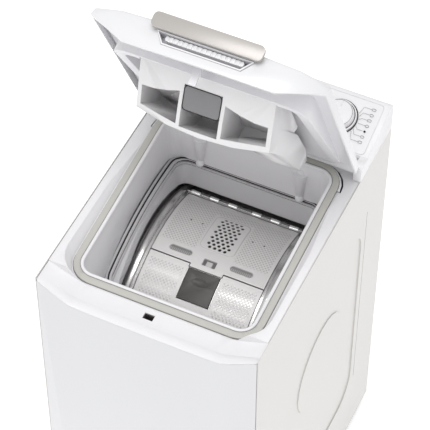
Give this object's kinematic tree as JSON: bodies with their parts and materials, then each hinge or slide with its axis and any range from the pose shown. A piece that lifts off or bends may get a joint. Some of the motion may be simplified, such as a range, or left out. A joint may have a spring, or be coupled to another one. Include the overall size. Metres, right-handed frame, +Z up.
{
  "type": "top-loading washing machine",
  "caption": "Slim top-loading washing machine with its lid open, showing the sealed loading well, twin-flap drum, dispenser under the lid and sloped control panel.",
  "frame": {"origin": "on the floor under the middle of the whole machine", "axes": "+X to the user's right, -Y towards the user, +Z up"},
  "size_m": [0.4, 0.5708, 1.2411],
  "materials": {
    "white_paint": "gloss enamel",
    "side_paint": "satin enamel",
    "white_plastic": "satin moulded plastic",
    "liner_plastic": "matt moulded plastic",
    "seal_rubber": "matt",
    "grey_rubber": "matt",
    "dark_plastic": "satin",
    "handle_grey": "silver satin",
    "stainless": "polished stainless",
    "zinc": "zinc plated",
    "cast": "grey cast",
    "black": "matt black",
    "board": "coated circuit board",
    "concrete": "rough concrete ballast"
  },
  "bodies": {
    "cabinet": {"base_frame": "zinc", "rear_panel": "zinc", "rear_cover": "zinc", "spring_left": "zinc", "spring_right": "zinc", "left_side_panel": "side_paint", "right_side_panel": "side_paint", "front_panel": "white_paint", "kick_panel": "white_paint", "inlet_valve": "white_plastic", "top_frame": "white_plastic", "control_housing": "white_plastic", "control_overlay": "white_plastic", "drain_gland": "black", "mains_gland": "black", "door_lock": "black", "damper_left": "black", "damper_right": "black", "belt": "black", "lid_seal": "seal_rubber", "control_board": "board", "tub_shell": "liner_plastic", "tub_cover_left": "liner_plastic", "tub_cover_right": "liner_plastic", "drain_pump": "liner_plastic", "bellows": "grey_rubber", "counterweight": "concrete", "heater": "stainless", "motor": "cast"},
    "lid": {"lid_shell": "white_plastic", "lid_liner": "liner_plastic", "handle_plate": "handle_grey", "handle_cup": "dark_plastic", "handle_grip": "white_plastic", "latch_hook": "liner_plastic"},
    "drum": {"drum_shell": "stainless", "drum_end_left": "stainless", "drum_end_right": "stainless", "lifter_1": "liner_plastic", "lifter_2": "liner_plastic", "drum_pulley": "cast", "rear_hinge_rod": "stainless", "front_hinge_rod": "stainless"},
    "dispenser": {"dispenser_tray": "liner_plastic"},
    "softener_cap": {"softener_cap": "dark_plastic"},
    "rear_flap": {"rear_flap": "stainless"},
    "front_flap": {"front_flap": "stainless"},
    "latch_button": {"latch_button": "dark_plastic"},
    "motor_pulley": {"motor_pulley": "zinc"},
    "knob": {"selector_knob": "white_plastic"},
    "push_button_1": {"push_button_1": "white_plastic"},
    "push_button_2": {"push_button_2": "white_plastic"},
    "push_button_3": {"push_button_3": "white_plastic"},
    "push_button_4": {"push_button_4": "white_plastic"},
    "filter_door": {"filter_door": "white_plastic"},
    "filter_cap": {"filter_cap": "white_plastic"},
    "levelling_foot_1": {"levelling_foot_1": "black"},
    "levelling_foot_2": {"levelling_foot_2": "black"},
    "levelling_foot_3": {"levelling_foot_3": "black"},
    "levelling_foot_4": {"levelling_foot_4": "black"}
  },
  "joints": [
    {"name": "lid_hinge", "type": "hinge", "parent": "cabinet", "child": "lid", "pos_m": [0, 0.15, 0.8295], "axis": [1, 0, 0], "range_deg": [-3, 65.2]},
    {"name": "drum_spin", "type": "hinge", "parent": "cabinet", "child": "drum", "pos_m": [0, 0.01, 0.455], "axis": [1, 0, 0], "range_deg": [0, 360]},
    {"name": "motor_spin", "type": "hinge", "parent": "cabinet", "child": "motor_pulley", "pos_m": [0, 0.12, 0.128], "axis": [1, 0, 0], "range_deg": [0, 4190]},
    {"name": "rear_flap_hinge", "type": "hinge", "parent": "drum", "child": "rear_flap", "pos_m": [0, 0.11052, 0.66109], "axis": [1, 0, 0], "range_deg": [-75, 0]},
    {"name": "front_flap_hinge", "type": "hinge", "parent": "drum", "child": "front_flap", "pos_m": [0, -0.13117, 0.63569], "axis": [-1, 0, 0], "range_deg": [-65, 0]},
    {"name": "latch_press", "type": "slide", "parent": "front_flap", "child": "latch_button", "axis": [0, 0.4067, -0.9135], "range_m": [0, 0.0015], "stiffness_N_per_m": 600, "springref_m": -0.001},
    {"name": "knob_turn", "type": "hinge", "parent": "cabinet", "child": "knob", "pos_m": [0.123, 0.2181, 0.86271], "axis": [0, -0.3304, 0.9439], "continuous": true},
    {"name": "push_button_1_press", "type": "slide", "parent": "cabinet", "child": "push_button_1", "axis": [0, 0.3304, -0.9439], "range_m": [0, 0.0015], "stiffness_N_per_m": 500, "springref_m": -0.001},
    {"name": "push_button_2_press", "type": "slide", "parent": "cabinet", "child": "push_button_2", "axis": [0, 0.3304, -0.9439], "range_m": [0, 0.0015], "stiffness_N_per_m": 500, "springref_m": -0.001},
    {"name": "push_button_3_press", "type": "slide", "parent": "cabinet", "child": "push_button_3", "axis": [0, 0.3304, -0.9439], "range_m": [0, 0.0015], "stiffness_N_per_m": 500, "springref_m": -0.001},
    {"name": "push_button_4_press", "type": "slide", "parent": "cabinet", "child": "push_button_4", "axis": [0, 0.3304, -0.9439], "range_m": [0, 0.0015], "stiffness_N_per_m": 500, "springref_m": -0.001},
    {"name": "filter_door_hinge", "type": "hinge", "parent": "cabinet", "child": "filter_door", "pos_m": [0.09, -0.284, 0.0304], "axis": [1, 0, 0], "range_deg": [0, 80]},
    {"name": "filter_cap_turn", "type": "hinge", "parent": "cabinet", "child": "filter_cap", "pos_m": [0.09, -0.255, 0.057], "axis": [0, 1, 0], "range_deg": [-90, 0]},
    {"name": "levelling_foot_1_turn", "type": "hinge", "parent": "cabinet", "child": "levelling_foot_1", "pos_m": [-0.165, -0.225, 0.01], "axis": [0, 0, 1], "continuous": true},
    {"name": "levelling_foot_2_turn", "type": "hinge", "parent": "cabinet", "child": "levelling_foot_2", "pos_m": [0.165, -0.225, 0.01], "axis": [0, 0, 1], "continuous": true},
    {"name": "levelling_foot_3_turn", "type": "hinge", "parent": "cabinet", "child": "levelling_foot_3", "pos_m": [-0.165, 0.225, 0.01], "axis": [0, 0, 1], "continuous": true},
    {"name": "levelling_foot_4_turn", "type": "hinge", "parent": "cabinet", "child": "levelling_foot_4", "pos_m": [0.165, 0.225, 0.01], "axis": [0, 0, 1], "continuous": true},
    {"name": "dispenser_slide", "type": "slide", "parent": "lid", "child": "dispenser", "axis": [0, 0.4195, -0.9078], "range_m": [0, 0.01]},
    {"name": "softener_cap_pull", "type": "slide", "parent": "dispenser", "child": "softener_cap", "axis": [0, -0.4195, 0.9078], "range_m": [0, 0.015]}
  ],
  "couplings": [
    {"joint": "motor_spin", "follows": "drum_spin", "ratio": 11.636}
  ]
}
